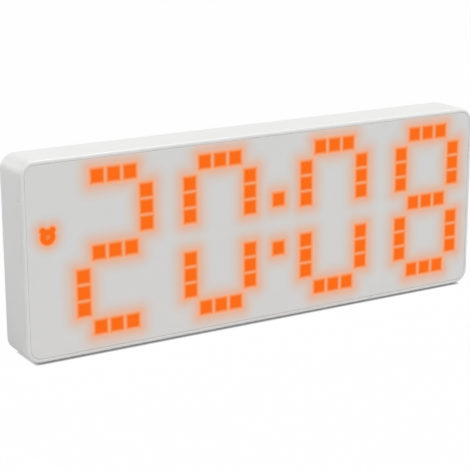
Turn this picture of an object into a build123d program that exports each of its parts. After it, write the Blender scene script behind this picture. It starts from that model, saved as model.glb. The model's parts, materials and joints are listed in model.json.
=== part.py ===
from build123d import *
import os

# Digital LED desk clock: a thin white slab whose whole front is one light-diffusing panel.
# Behind the panel a black-out mask with one square well per light makes the digits.
# The clock stands on its base, faces -Y and rests on z = 0. All lengths are millimetres.

os.makedirs("parts", exist_ok=True)

# Case
case_width = 200.0
case_height = 74.0
corner_radius = 5.75
front_edge_radius = 0.9
back_edge_chamfer = 0.4
wall = 2.0
rim_width = 1.5
back_wall = 1.2
overrun = 1.0

# Front panel and the ledge that it is glued to
panel_thickness = 1.5
panel_gap = 0.1
panel_edge_chamfer = 0.1
ledge_width = 1.5

# Lights: five columns by seven segments of three square dots in each digit.
# Steps and places across are shares of the case's width, and those up are shares of its height.
dot_step_x_share = 0.03255
dot_step_z_share = 0.0828
row_rise_share = 0.3801
segment_rise_share = 0.1946
digit_x_shares = [-0.3202, -0.0997, 0.1579, 0.3854]
colon_x_share = 0.02945
colon_rise_share = 0.1304
icon_x_share = -0.452
icon_rise_share = 0.1126
dot_bar_x = 1.5
dot_bar_z = 1.1
display_raise = 0.8
icon_face_radius = 2.9
icon_bell_radius = 1.2
icon_bell_spread = 1.85
icon_bell_lift = 2.35
icon_well_radius = 4.3
icon_skin = 0.6

# Light mask
mask_thickness = 2.5
mask_gap = 0.3
well_taper = 0.825
peg_diameter = 1.6
peg_proud = 0.6
peg_clearance = 0.1

# Circuit board and what it carries
board_thickness = 1.0
board_gap = 0.4
led_length = 2.0
led_width = 1.25
led_height = 0.65
board_screw_head = 3.6
board_screw_head_height = 1.2
board_screw_shank = 1.7
board_screw_bite = 2.0
cross_width = 0.6
board_cross_length = 2.0
board_cross_depth = 0.6
thread_clearance = 0.05
screw_clearance = 0.15

# Rear cover
cover_thickness = 1.8
cover_gap = 0.15
cover_rib_thickness = 1.0
cover_rib_height = 2.5
cover_rib_rise = 4.0
post_width = 3.6
post_bay_gap = 1.3
post_inset = 10.0

# Case screws and the bosses that take them
boss_diameter = 5.2
boss_inset = 7.0
boss_web = 1.2
boss_start_gap = 0.3
case_screw_head = 4.2
case_screw_head_height = 1.0
case_screw_shank = 1.9
case_screw_length = 8.0
case_screw_sink = 1.1
case_cross_length = 2.4
case_cross_depth = 0.6
pilot_extra = 1.0

# Battery bay for three AAA cells, with its door
cell_diameter = 10.5
cell_length = 44.5
cell_nub_diameter = 3.8
cell_nub_height = 0.8
cell_count = 3
cell_spacing = 0.4
cell_gap = 0.15
bay_side_room = 0.55
bay_wall = 1.2
bay_floor = 0.8
bay_board_gap = 0.3
cradle_width = 3.0
cradle_height = 3.2
cradle_x = 12.0
contact_thickness = 0.4
contact_width = 8.0
contact_height = 8.0
leaf_width = 5.0
leaf_thickness = 0.3
leaf_root = 3.4
leaf_tip = 1.6
leaf_seat_gap = 0.05
spring_room = 4.7
door_thickness = 1.1
door_seat = 1.2
door_gap = 0.2
door_corner = 1.5
door_edge_chamfer = 0.25
hook_x = 14.0
hook_width = 6.0
hook_thickness = 0.8
hook_reach = 1.9
hook_drop = 1.1
hook_clearance = 0.35
latch_width = 12.0
latch_thickness = 0.9
latch_length = 2.2
latch_gap = 0.35
grip_groove_width = 0.8
grip_groove_depth = 0.35
grip_groove_length = 12.0
grip_groove_spacing = 1.7
grip_groove_inset = 3.2
grip_groove_count = 3
nail_scoop_radius = 6.0
nail_scoop_offset = 3.8
nail_scoop_depth = 0.9

# Keys on the back, each on a tall push switch
key_names = ["set", "plus", "minus", "alarm"]
key_first_x_share = 0.19
key_step_share = 0.065
key_rise_share = 0.23
key_diameter = 7.6
key_hole_gap = 0.2
key_proud = 0.8
key_travel = 0.5
key_edge_chamfer = 0.4
key_flange_extra = 1.0
key_flange_height = 0.8
key_flange_gap = 0.1
key_stem_width = 3.6
key_stem_length = 2.4
key_collar_gap = 0.3
key_collar_wall = 0.8
key_collar_height = 2.4
switch_width = 6.0
switch_height = 3.5
switch_corner_chamfer = 0.3
plunger_width = 2.8
plunger_gap = 0.2
plunger_sunk = 0.6
plunger_reserve = 0.2

# Slide switch for the sound-activated display
slide_x_share = -0.33
slide_rise_share = 0.23
slide_body_length = 8.6
slide_body_width = 3.7
slide_body_height = 3.5
slide_travel = 2.0
slide_knob_length = 1.6
slide_knob_width = 1.8
slide_knob_shy = 0.2
slide_knob_sunk = 1.2
slide_slot_gap = 0.35
slide_recess_length = 9.0
slide_recess_width = 4.6
slide_recess_depth = 0.7

# Power socket, upright on the board with its mouth to the rear
socket_x_share = -0.4
socket_rise_share = -0.23
socket_width = 8.94
socket_height = 3.26
socket_length = 10.9
socket_sheet = 0.3
socket_base_length = 5.0
socket_fit = 0.04
tongue_width = 6.7
tongue_thickness = 0.7
tongue_length = 4.8
socket_hole_gap = 0.3
socket_mouth_chamfer = 0.7

# Sounder and its sound holes
sounder_x_share = -0.23
sounder_rise_share = 0.162
sounder_diameter = 12.0
sounder_height = 8.5
sounder_port_diameter = 2.0
sounder_port_depth = 0.8
sound_slot_length = 9.0
sound_slot_width = 1.2
sound_slot_spacing = 2.6
sound_slot_count = 4

# Microphone behind a pinhole in the left wall
microphone_rise_share = 0.311
microphone_depth = 3.5
microphone_diameter = 3.0
microphone_length = 1.6
microphone_seat_gap = 0.05
boot_diameter = 3.8
boot_length = 2.8
boot_front = 1.0
pinhole_diameter = 0.8
pinhole_depth = 2.4
notch_height = 5.4
notch_depth = 3.6

# Smaller parts on the back of the board
chip_lead_spacing = 1.27
chip_lead_width = 0.45
chip_lead_thickness = 0.25
chip_lead_reach = 1.4
chip_standoff = 0.15
chip_edge_chamfer = 0.25
control_chip_x_share = 0.3
control_chip_rise_share = -0.108
control_chip_length = 13.2
control_chip_width = 7.5
control_chip_height = 2.3
control_chip_lead_count = 10
driver_chip_x_share = -0.29
driver_chip_rise_share = -0.108
driver_chip_step = 13.5
driver_chip_length = 6.8
driver_chip_width = 4.0
driver_chip_height = 1.6
driver_chip_lead_count = 5
crystal_x_share = 0.38
crystal_rise_share = -0.054
crystal_diameter = 2.0
crystal_length = 6.0
crystal_lead = 0.3
crystal_lead_length = 1.5
crystal_lead_spread = 0.35
capacitor_x_share = -0.32
capacitor_diameter = 6.3
capacitor_height = 7.7
capacitor_base = 6.6
capacitor_base_height = 1.2
capacitor_edge_chamfer = 0.3
resistor_length = 2.0
resistor_width = 1.25
resistor_height = 0.5
resistor_x_share = 0.29
resistor_rise_share = -0.2635
resistor_step_x = 5.0
resistor_step_z = 4.0
resistor_column_count = 7
resistor_row_count = 2

# Leads from the battery bay to the board
lead_diameter = 1.2
lead_bend = 2.5
lead_reach = 4.5
lead_spread = 9.0

# Rubber feet let into the base
foot_length = 28.0
foot_width = 11.0
foot_sink = 0.5
foot_proud = 0.6
foot_inset = 32.0
foot_gap = 0.15

# Depths count from the front face to the rear. The cells, with the board before them and
# the door behind them, set the depth of the case.
mask_back = panel_thickness + mask_thickness
board_back = mask_back + board_thickness
bay_floor_front = board_back + bay_board_gap
bay_floor_back = bay_floor_front + bay_floor
cell_depth = bay_floor_back + cell_gap + cell_diameter / 2
door_front = cell_depth + cell_diameter / 2 + cell_gap
case_depth = door_front + door_thickness
cover_front = case_depth - cover_thickness

# The battery bay takes the cells, their springs and the contact plates
cell_step = cell_diameter + cell_spacing
bay_length = cell_length + spring_room + 2 * contact_thickness
bay_height = (cell_count - 1) * cell_step + cell_diameter + 2 * bay_side_room
post_x = bay_length / 2 + bay_wall + post_bay_gap + post_width / 2
post_rise = case_height / 2 - post_inset
side_post_x = case_width / 2 - post_inset

# Places in the row frame
front_y = -(case_depth + key_proud) / 2
mid_z = foot_proud + case_height / 2
display_z = mid_z + display_raise
ledge_inset = wall + ledge_width
key_flange_width = key_diameter + 2 * key_flange_extra
foot_x = case_width / 2 - foot_inset
slide_x = slide_x_share * case_width
slide_z = mid_z + slide_rise_share * case_height
socket_x = socket_x_share * case_width
socket_z = mid_z + socket_rise_share * case_height
sounder_x = sounder_x_share * case_width
sounder_z = mid_z + sounder_rise_share * case_height
microphone_z = mid_z + microphone_rise_share * case_height
key_z = mid_z + key_rise_share * case_height


def upright(depth):
    """Plane parallel to the front face, seen from the front, with its normal to the viewer."""
    return Plane.XZ.offset(-(front_y + depth))


def rounded_outline(inset):
    """The case's outline, drawn in by an inset all round."""
    width = case_width - 2 * inset
    height = case_height - 2 * inset
    return RectangleRounded(width, height, corner_radius - inset)


def cross_recess(head_depth, places, length, depth):
    """Cut a cross for the screwdriver into heads that face the rear."""
    with BuildSketch(upright(head_depth)) as cross:
        with Locations(*places):
            Rectangle(length, cross_width)
            Rectangle(cross_width, length)
    extrude(cross.sketch, amount=depth, mode=Mode.SUBTRACT)


def digit_places(digit_x):
    """Centres of the 21 dots of one digit."""
    places = []
    for rise in (-row_rise, 0, row_rise):
        for column in (-1, 0, 1):
            places.append((digit_x + column * dot_step_x, display_z + rise))
    for column in (-2, 2):
        for rise in (-segment_rise, segment_rise):
            for step in (-1, 0, 1):
                places.append((digit_x + column * dot_step_x, display_z + rise + step * dot_step_z))
    return places


# Places of the lights, and the size of the square that each one fills at the panel
dot_step_x = dot_step_x_share * case_width
dot_step_z = dot_step_z_share * case_height
dot_width = dot_step_x - dot_bar_x
dot_height = dot_step_z - dot_bar_z
row_rise = row_rise_share * case_height
segment_rise = segment_rise_share * case_height
colon_rise = colon_rise_share * case_height
digit_xs = [share * case_width for share in digit_x_shares]
dot_places = [(colon_x_share * case_width, display_z + side * colon_rise) for side in (-1, 1)]
for digit_x in digit_xs:
    dot_places += digit_places(digit_x)
icon_place = (icon_x_share * case_width, display_z + icon_rise_share * case_height)

boss_places = []
for side_x in (-1, 1):
    for side_z in (-1, 1):
        boss_x = side_x * (case_width / 2 - boss_inset)
        boss_places.append((boss_x, mid_z + side_z * (case_height / 2 - boss_inset)))

# A screw at one end of each free column between two digits, and a peg at the other end
board_screw_places = []
peg_places = []
for first_digit, side in ((0, 1), (2, -1)):
    screw_x = (digit_xs[first_digit] + digit_xs[first_digit + 1]) / 2
    board_screw_places.append((screw_x, mid_z + side * row_rise))
    peg_places.append((screw_x, mid_z - side * row_rise))

key_x_shares = [key_first_x_share + i * key_step_share for i in range(len(key_names))]
key_places = [(share * case_width, key_z) for share in key_x_shares]
cell_places = [mid_z + (i - (cell_count - 1) / 2) * cell_step for i in range(cell_count)]
cell_signs = [1 if i % 2 == 0 else -1 for i in range(cell_count)]

# Front case: one moulded frame with the rim, the panel's ledge and four screw bosses
boss_length = cover_front - board_back - boss_start_gap
with BuildPart() as front_case:
    with BuildSketch(upright(case_depth)):
        with Locations((0, mid_z)):
            rounded_outline(0)
    extrude(amount=case_depth)
    fillet(front_case.faces().sort_by(Axis.Y)[0].edges(), front_edge_radius)
    chamfer(front_case.faces().sort_by(Axis.Y)[-1].edges(), back_edge_chamfer)
    with BuildSketch(upright(panel_thickness)):
        with Locations((0, mid_z)):
            rounded_outline(rim_width)
    extrude(amount=panel_thickness + overrun, mode=Mode.SUBTRACT)
    with BuildSketch(upright(case_depth)):
        with Locations((0, mid_z)):
            rounded_outline(ledge_inset)
    extrude(amount=case_depth, mode=Mode.SUBTRACT)
    with BuildSketch(upright(case_depth)):
        with Locations((0, mid_z)):
            rounded_outline(wall)
    extrude(amount=case_depth - mask_back, mode=Mode.SUBTRACT)
    with BuildSketch(upright(cover_front)):
        with Locations((0, mid_z)):
            rounded_outline(back_wall)
    extrude(amount=-(cover_thickness + overrun), mode=Mode.SUBTRACT)
    # Bosses stand on webs from the walls and start just behind the board
    with BuildSketch(upright(cover_front)):
        web_length = boss_inset - back_wall
        for boss_x, boss_z in boss_places:
            side_x = 1 if boss_x > 0 else -1
            side_z = 1 if boss_z > mid_z else -1
            with Locations((boss_x, boss_z)):
                Circle(boss_diameter / 2)
            with Locations((boss_x, boss_z + side_z * web_length / 2)):
                Rectangle(boss_web, web_length)
            with Locations((boss_x + side_x * web_length / 2, boss_z)):
                Rectangle(web_length, boss_web)
    extrude(amount=boss_length)
    with BuildSketch(upright(cover_front)):
        with Locations(*boss_places):
            Circle(case_screw_shank / 2 + thread_clearance)
    extrude(amount=case_screw_length + pilot_extra - cover_thickness + case_screw_sink, mode=Mode.SUBTRACT)
    # Pinhole for the microphone, through the left wall and the ledge
    with BuildSketch(Plane.YZ.offset(-case_width / 2 - overrun)):
        with Locations((front_y + pinhole_depth, microphone_z)):
            Circle(pinhole_diameter / 2)
    extrude(amount=ledge_inset + 2 * overrun, mode=Mode.SUBTRACT)
    # Recesses for the rubber feet
    with BuildSketch(Plane.XY.offset(foot_proud - overrun)):
        with Locations((-foot_x, front_y + case_depth / 2), (foot_x, front_y + case_depth / 2)):
            SlotOverall(foot_length, foot_width)
    extrude(amount=foot_sink + overrun, mode=Mode.SUBTRACT)

front_case.part.label = "front_case"
export_step(front_case.part, "parts/front_case.step")

# Front panel: flat diffusing sheet, flush with the rim
with BuildPart() as front_panel:
    with BuildSketch(upright(panel_thickness)):
        with Locations((0, mid_z)):
            rounded_outline(rim_width + panel_gap)
    extrude(amount=panel_thickness)
    chamfer(front_panel.faces().sort_by(Axis.Y)[0].edges(), panel_edge_chamfer)

front_panel.part.label = "front_panel"
export_step(front_panel.part, "parts/front_panel.step")

# Light mask: a plate with one tapered square well per dot and a cut-out in the alarm sign's form
notch_x = -case_width / 2 + ledge_inset
with BuildPart() as light_mask:
    with BuildSketch(upright(mask_back)):
        with Locations((0, mid_z)):
            rounded_outline(ledge_inset + mask_gap)
        with Locations((notch_x + notch_depth / 2, microphone_z)):
            Rectangle(notch_depth, notch_height, mode=Mode.SUBTRACT)
    extrude(amount=mask_thickness)
    # Each well narrows from the dot's size at the panel to the light's field at the board
    well_y = front_y + panel_thickness + mask_thickness / 2
    with Locations(*[(dot_x, well_y, dot_z) for dot_x, dot_z in dot_places]):
        Wedge(
            dot_width,
            mask_thickness,
            dot_height,
            well_taper,
            well_taper,
            dot_width - well_taper,
            dot_height - well_taper,
            mode=Mode.SUBTRACT,
        )
    with BuildSketch(upright(panel_thickness)):
        with Locations(icon_place):
            Circle(icon_face_radius)
            with Locations((-icon_bell_spread, icon_bell_lift), (icon_bell_spread, icon_bell_lift)):
                Circle(icon_bell_radius)
    extrude(amount=-icon_skin, mode=Mode.SUBTRACT)
    with BuildSketch(upright(mask_back)):
        with Locations(icon_place):
            Circle(icon_well_radius)
    extrude(amount=mask_thickness - icon_skin, mode=Mode.SUBTRACT)
    with BuildSketch(upright(mask_back)):
        with Locations(*board_screw_places):
            Circle(board_screw_shank / 2 + thread_clearance)
    extrude(amount=board_screw_bite + thread_clearance, mode=Mode.SUBTRACT)
    with BuildSketch(upright(mask_back)):
        with Locations(*peg_places):
            Circle(peg_diameter / 2)
    extrude(amount=-(board_thickness + peg_proud))

light_mask.part.label = "light_mask"
export_step(light_mask.part, "parts/light_mask.step")

# Circuit board: seats on the mask and on the ledge, notched for the microphone
with BuildPart() as display_board:
    with BuildSketch(upright(board_back)):
        with Locations((0, mid_z)):
            rounded_outline(wall + board_gap)
        with Locations((notch_x + (notch_depth - ledge_width) / 2, microphone_z)):
            Rectangle(notch_depth + ledge_width, notch_height, mode=Mode.SUBTRACT)
        with Locations(*board_screw_places):
            Circle(board_screw_shank / 2 + screw_clearance, mode=Mode.SUBTRACT)
        with Locations(*peg_places):
            Circle(peg_diameter / 2 + peg_clearance, mode=Mode.SUBTRACT)
    extrude(amount=board_thickness)

display_board.part.label = "display_board"
export_step(display_board.part, "parts/display_board.step")

# Lights: one small surface-mounted diode at the bottom of every well
with BuildPart() as display_leds:
    with BuildSketch(upright(mask_back)):
        with Locations(*dot_places, icon_place):
            Rectangle(led_length, led_width)
    extrude(amount=led_height)

display_leds.part.label = "display_leds"
export_step(display_leds.part, "parts/display_leds.step")

# Screws that hold the board to the mask
with BuildPart() as board_screws:
    with BuildSketch(upright(board_back)):
        with Locations(*board_screw_places):
            Circle(board_screw_head / 2)
    extrude(amount=-board_screw_head_height)
    with BuildSketch(upright(board_back)):
        with Locations(*board_screw_places):
            Circle(board_screw_shank / 2)
    extrude(amount=board_thickness + board_screw_bite)
    cross_recess(
        board_back + board_screw_head_height,
        board_screw_places,
        board_cross_length,
        board_cross_depth,
    )

board_screws.part.label = "board_screws"
export_step(board_screws.part, "parts/board_screws.step")

# Rear cover: flush back plate with the battery bay, posts, ribs and key collars moulded on
hook_windows = []
for side in (-1, 1):
    hook_windows.append((side * hook_x, front_y + door_front - hook_drop - hook_thickness / 2))
with BuildPart() as rear_cover:
    with BuildSketch(upright(cover_front)):
        with Locations((0, mid_z)):
            rounded_outline(back_wall + cover_gap)
    extrude(amount=-cover_thickness)
    # Outer walls and floor of the bay
    with BuildSketch(upright(cover_front)):
        with Locations((0, mid_z)):
            Rectangle(bay_length + 2 * bay_wall, bay_height + 2 * bay_wall)
    extrude(amount=cover_front - bay_floor_front)
    # Posts that hold the board against its seat
    with BuildSketch(upright(cover_front)):
        for post_side in (-1, 1):
            for post_lift in (-1, 1):
                with Locations((post_side * post_x, mid_z + post_lift * post_rise)):
                    Rectangle(post_width, post_width)
            with Locations((post_side * side_post_x, mid_z)):
                Rectangle(post_width, post_width)
    extrude(amount=cover_front - board_back)
    # Stiffening ribs from the bay to the sides
    rib_end = side_post_x - post_width / 2
    rib_start = bay_length / 2 + bay_wall
    with BuildSketch(upright(cover_front)):
        for rib_side in (-1, 1):
            for rib_lift in (-1, 1):
                with Locations((rib_side * (rib_start + rib_end) / 2, mid_z + rib_lift * cover_rib_rise)):
                    Rectangle(rib_end - rib_start, cover_rib_thickness)
    extrude(amount=cover_rib_height)
    # Collars that guide the keys
    collar_inside = key_flange_width + 2 * key_collar_gap
    with BuildSketch(upright(cover_front)):
        with Locations(*key_places):
            Rectangle(collar_inside + 2 * key_collar_wall, collar_inside + 2 * key_collar_wall)
    extrude(amount=key_collar_height)
    with BuildSketch(upright(cover_front)):
        with Locations(*key_places):
            Rectangle(collar_inside, collar_inside)
    extrude(amount=key_collar_height + overrun, mode=Mode.SUBTRACT)
    with BuildSketch(upright(case_depth + overrun)):
        with Locations(*key_places):
            Circle(key_diameter / 2 + key_hole_gap)
    extrude(amount=cover_thickness + 2 * overrun, mode=Mode.SUBTRACT)
    # Inside of the bay and the door's seat
    with BuildSketch(upright(case_depth + overrun)):
        with Locations((0, mid_z)):
            Rectangle(bay_length, bay_height)
    extrude(amount=case_depth + overrun - bay_floor_back, mode=Mode.SUBTRACT)
    with BuildSketch(upright(case_depth + overrun)):
        with Locations((0, mid_z)):
            RectangleRounded(bay_length + 2 * door_seat, bay_height + 2 * door_seat, door_corner)
    extrude(amount=door_thickness + overrun, mode=Mode.SUBTRACT)
    # Two curved cradles carry the cells
    for side in (-1, 1):
        with BuildSketch(Plane.YZ.offset(side * cradle_x - cradle_width / 2)):
            with Locations((front_y + bay_floor_back + cradle_height / 2, mid_z)):
                Rectangle(cradle_height, bay_height)
            for cell_z in cell_places:
                with Locations((front_y + cell_depth, cell_z)):
                    Circle(cell_diameter / 2 + cell_gap, mode=Mode.SUBTRACT)
        extrude(amount=cradle_width)
    # Windows for the door's two hooks, through the lower wall of the bay
    window_z = mid_z - bay_height / 2
    with BuildSketch(Plane.XY.offset(window_z - bay_wall - overrun)):
        with Locations(*hook_windows):
            Rectangle(hook_width + 2 * hook_clearance, hook_thickness + 2 * hook_clearance)
    extrude(amount=bay_wall + 2 * overrun, mode=Mode.SUBTRACT)
    # Scoop for a fingernail above the door
    with BuildSketch(upright(case_depth + overrun)):
        with Locations((0, mid_z + bay_height / 2 + door_seat + nail_scoop_offset - nail_scoop_radius)):
            Circle(nail_scoop_radius)
    extrude(amount=nail_scoop_depth + overrun, mode=Mode.SUBTRACT)
    # Sunk seats and holes for the case screws
    with BuildSketch(upright(case_depth + overrun)):
        with Locations(*boss_places):
            Circle(case_screw_head / 2 + screw_clearance)
    extrude(amount=case_screw_sink + overrun, mode=Mode.SUBTRACT)
    with BuildSketch(upright(case_depth)):
        with Locations(*boss_places):
            Circle(case_screw_shank / 2 + screw_clearance)
    extrude(amount=cover_thickness + overrun, mode=Mode.SUBTRACT)
    # Sound slots
    with BuildSketch(upright(case_depth + overrun)):
        with Locations((sounder_x, sounder_z)):
            with GridLocations(sound_slot_spacing, sound_slot_spacing, 1, sound_slot_count):
                Rectangle(sound_slot_length, sound_slot_width)
    extrude(amount=cover_thickness + 2 * overrun, mode=Mode.SUBTRACT)
    # Slot and finger recess of the slide switch
    slot_length = slide_knob_length + slide_travel + 2 * slide_slot_gap
    with BuildSketch(upright(case_depth + overrun)):
        with Locations((slide_x + slide_travel / 2, slide_z)):
            Rectangle(slide_recess_length, slide_recess_width)
    extrude(amount=slide_recess_depth + overrun, mode=Mode.SUBTRACT)
    with BuildSketch(upright(case_depth + overrun)):
        with Locations((slide_x + slide_travel / 2, slide_z)):
            Rectangle(slot_length, slide_knob_width + 2 * slide_slot_gap)
    extrude(amount=cover_thickness + 2 * overrun, mode=Mode.SUBTRACT)
    # Mouth of the power socket, widened towards the outside
    with BuildSketch(upright(case_depth + overrun)):
        with Locations((socket_x, socket_z)):
            SlotOverall(socket_width + 2 * socket_hole_gap, socket_height + 2 * socket_hole_gap)
    extrude(amount=cover_thickness + 2 * overrun, mode=Mode.SUBTRACT)
    socket_rim = (
        rear_cover.edges()
        .filter_by_position(Axis.Y, front_y + case_depth, front_y + case_depth)
        .filter_by_position(Axis.X, socket_x - socket_width, socket_x + socket_width)
        .filter_by_position(Axis.Z, socket_z - socket_height, socket_z + socket_height)
    )
    chamfer(socket_rim, socket_mouth_chamfer)

rear_cover.part.label = "rear_cover"
export_step(rear_cover.part, "parts/rear_cover.step")

# Case screws
case_screw_seat = case_depth - case_screw_sink
with BuildPart() as case_screws:
    with BuildSketch(upright(case_screw_seat)):
        with Locations(*boss_places):
            Circle(case_screw_head / 2)
    extrude(amount=-case_screw_head_height)
    with BuildSketch(upright(case_screw_seat)):
        with Locations(*boss_places):
            Circle(case_screw_shank / 2)
    extrude(amount=case_screw_length)
    cross_recess(
        case_screw_seat + case_screw_head_height,
        boss_places,
        case_cross_length,
        case_cross_depth,
    )

case_screws.part.label = "case_screws"
export_step(case_screws.part, "parts/case_screws.step")

# Three AAA cells, the middle one turned round
nub_end = bay_length / 2 - contact_thickness
with BuildPart() as battery_cells:
    for cell_z, sign in zip(cell_places, cell_signs):
        flat_end = nub_end - cell_length
        with BuildSketch(Plane.YZ.offset(sign * flat_end)):
            with Locations((front_y + cell_depth, cell_z)):
                Circle(cell_diameter / 2)
        extrude(amount=sign * (cell_length - cell_nub_height))
        with BuildSketch(Plane.YZ.offset(sign * (nub_end - cell_nub_height))):
            with Locations((front_y + cell_depth, cell_z)):
                Circle(cell_nub_diameter / 2)
        extrude(amount=sign * cell_nub_height)

battery_cells.part.label = "battery_cells"
export_step(battery_cells.part, "parts/battery_cells.step")

# Contact plates at both ends of every cell, standing against the ends of the bay
with BuildPart() as contact_plates:
    for cell_z in cell_places:
        for side in (-1, 1):
            with BuildSketch(Plane.YZ.offset(side * bay_length / 2)):
                with Locations((front_y + cell_depth, cell_z)):
                    Rectangle(contact_width, contact_height)
            extrude(amount=-side * contact_thickness)

contact_plates.part.label = "contact_plates"
export_step(contact_plates.part, "parts/contact_plates.step")

# Bent leaf springs that press on the flat ends of the cells
with BuildPart() as contact_springs:
    for cell_z, sign in zip(cell_places, cell_signs):
        root_x = -sign * (nub_end - leaf_seat_gap)
        tip_x = sign * (nub_end - cell_length - leaf_seat_gap)
        bend_x = tip_x - sign * leaf_thickness
        root_y = front_y + cell_depth - leaf_root
        mid_y = front_y + cell_depth
        far_y = mid_y + leaf_root
        with BuildSketch(Plane.XY.offset(cell_z - leaf_width / 2)):
            with BuildLine():
                Polyline(
                    (root_x, root_y),
                    (bend_x, mid_y - leaf_tip),
                    (bend_x, mid_y + leaf_tip),
                    (root_x + sign * leaf_tip, far_y),
                    (root_x + sign * (leaf_tip + leaf_thickness), far_y),
                    (tip_x, mid_y + leaf_tip),
                    (tip_x, mid_y - leaf_tip),
                    (root_x + sign * leaf_thickness, root_y - leaf_thickness),
                    (root_x, root_y - leaf_thickness),
                    close=True,
                )
            make_face()
        extrude(amount=leaf_width)

contact_springs.part.label = "contact_springs"
export_step(contact_springs.part, "parts/contact_springs.step")

# Battery door: flush plate with two hooks below and a spring tongue above
door_length = bay_length + 2 * (door_seat - door_gap)
door_height = bay_height + 2 * (door_seat - door_gap)
door_top = mid_z + door_height / 2
with BuildPart() as battery_door:
    with BuildSketch(upright(door_front)):
        with Locations((0, mid_z)):
            RectangleRounded(door_length, door_height, door_corner - door_gap)
    extrude(amount=-door_thickness)
    chamfer(battery_door.faces().sort_by(Axis.Y)[-1].edges(), door_edge_chamfer)
    # Grooves for the thumb
    with BuildSketch(upright(case_depth + overrun)):
        for groove in range(grip_groove_count):
            with Locations((0, door_top - grip_groove_inset - groove * grip_groove_spacing)):
                Rectangle(grip_groove_length, grip_groove_width)
    extrude(amount=grip_groove_depth + overrun, mode=Mode.SUBTRACT)
    # Hooks: down from the door inside the bay, then out through the windows
    for side in (-1, 1):
        hook_root_z = mid_z - bay_height / 2 + hook_clearance
        hook_tip_z = hook_root_z + hook_thickness - hook_reach
        hook_mid = side * hook_x
        with BuildSketch(Plane.YZ.offset(hook_mid - hook_width / 2)):
            with BuildLine():
                Polyline(
                    (front_y + door_front, hook_root_z),
                    (front_y + door_front - hook_drop, hook_root_z),
                    (front_y + door_front - hook_drop, hook_tip_z),
                    (front_y + door_front - hook_drop - hook_thickness, hook_tip_z),
                    (front_y + door_front - hook_drop - hook_thickness, hook_root_z + hook_thickness),
                    (front_y + door_front, hook_root_z + hook_thickness),
                    close=True,
                )
            make_face()
        extrude(amount=hook_width)
    # Tongue behind the upper edge
    tongue_top = mid_z + bay_height / 2 - latch_gap
    with BuildSketch(upright(door_front)):
        with Locations((0, tongue_top - latch_thickness / 2)):
            Rectangle(latch_width, latch_thickness)
    extrude(amount=latch_length)

battery_door.part.label = "battery_door"
export_step(battery_door.part, "parts/battery_door.step")

# Push switches under the keys: four bodies on the board, each with its own plunger
switch_back = board_back + switch_height
flange_back = cover_front - key_flange_gap
stem_front = flange_back - key_flange_height - key_stem_length
with BuildPart() as push_switches:
    with BuildSketch(upright(board_back)):
        with Locations(*key_places):
            Rectangle(switch_width, switch_width)
    extrude(amount=-switch_height)
    chamfer(push_switches.faces().group_by(Axis.Y)[-1].edges(), switch_corner_chamfer)
    with BuildSketch(upright(switch_back)):
        with Locations(*key_places):
            Rectangle(plunger_width + 2 * plunger_gap, plunger_width + 2 * plunger_gap)
    extrude(amount=plunger_sunk + key_travel + plunger_reserve, mode=Mode.SUBTRACT)

push_switches.part.label = "push_switches"
export_step(push_switches.part, "parts/push_switches.step")

for key_name, (key_x, key_z) in zip(key_names, key_places):
    with BuildPart() as plunger:
        with BuildSketch(upright(switch_back - plunger_sunk)):
            with Locations((key_x, key_z)):
                Rectangle(plunger_width, plunger_width)
        extrude(amount=-(stem_front - switch_back + plunger_sunk))

    plunger.part.label = key_name + "_plunger"
    export_step(plunger.part, "parts/" + key_name + "_plunger.step")

    with BuildPart() as key:
        with BuildSketch(upright(flange_back)):
            with Locations((key_x, key_z)):
                Rectangle(key_flange_width, key_flange_width)
        extrude(amount=key_flange_height)
        with BuildSketch(upright(flange_back)):
            with Locations((key_x, key_z)):
                Circle(key_diameter / 2)
        extrude(amount=-(case_depth + key_proud - flange_back))
        chamfer(key.faces().sort_by(Axis.Y)[-1].edges(), key_edge_chamfer)
        with BuildSketch(upright(stem_front)):
            with Locations((key_x, key_z)):
                Rectangle(key_stem_width, key_stem_width)
        extrude(amount=-key_stem_length)

    key.part.label = key_name + "_key"
    export_step(key.part, "parts/" + key_name + "_key.step")

# Slide switch: body on the board, knob reaching out through the cover
slide_back = board_back + slide_body_height
slide_cavity_length = slide_knob_length + slide_travel + 2 * slide_slot_gap
with BuildPart() as slide_switch_body:
    with BuildSketch(upright(board_back)):
        with Locations((slide_x + slide_travel / 2, slide_z)):
            Rectangle(slide_body_length, slide_body_width)
    extrude(amount=-slide_body_height)
    with BuildSketch(upright(slide_back)):
        with Locations((slide_x + slide_travel / 2, slide_z)):
            Rectangle(slide_cavity_length, slide_knob_width + 2 * slide_slot_gap)
    extrude(amount=slide_knob_sunk + slide_slot_gap, mode=Mode.SUBTRACT)

slide_switch_body.part.label = "slide_switch_body"
export_step(slide_switch_body.part, "parts/slide_switch_body.step")

with BuildPart() as slide_switch_knob:
    with BuildSketch(upright(slide_back - slide_knob_sunk)):
        with Locations((slide_x, slide_z)):
            Rectangle(slide_knob_length, slide_knob_width)
    extrude(amount=-(case_depth - slide_knob_shy - slide_back + slide_knob_sunk))

slide_switch_knob.part.label = "slide_switch_knob"
export_step(slide_switch_knob.part, "parts/slide_switch_knob.step")

# Power socket: drawn metal shell and the insulator with its tongue
with BuildPart() as socket_shell:
    with BuildSketch(upright(board_back)):
        with Locations((socket_x, socket_z)):
            SlotOverall(socket_width, socket_height)
            SlotOverall(socket_width - 2 * socket_sheet, socket_height - 2 * socket_sheet, mode=Mode.SUBTRACT)
    extrude(amount=-socket_length)

socket_shell.part.label = "socket_shell"
export_step(socket_shell.part, "parts/socket_shell.step")

insulator_inset = socket_sheet + socket_fit
with BuildPart() as socket_insulator:
    with BuildSketch(upright(board_back)):
        with Locations((socket_x, socket_z)):
            SlotOverall(socket_width - 2 * insulator_inset, socket_height - 2 * insulator_inset)
    extrude(amount=-socket_base_length)
    with BuildSketch(upright(board_back + socket_base_length)):
        with Locations((socket_x, socket_z)):
            Rectangle(tongue_width, tongue_thickness)
    extrude(amount=-tongue_length)

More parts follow.
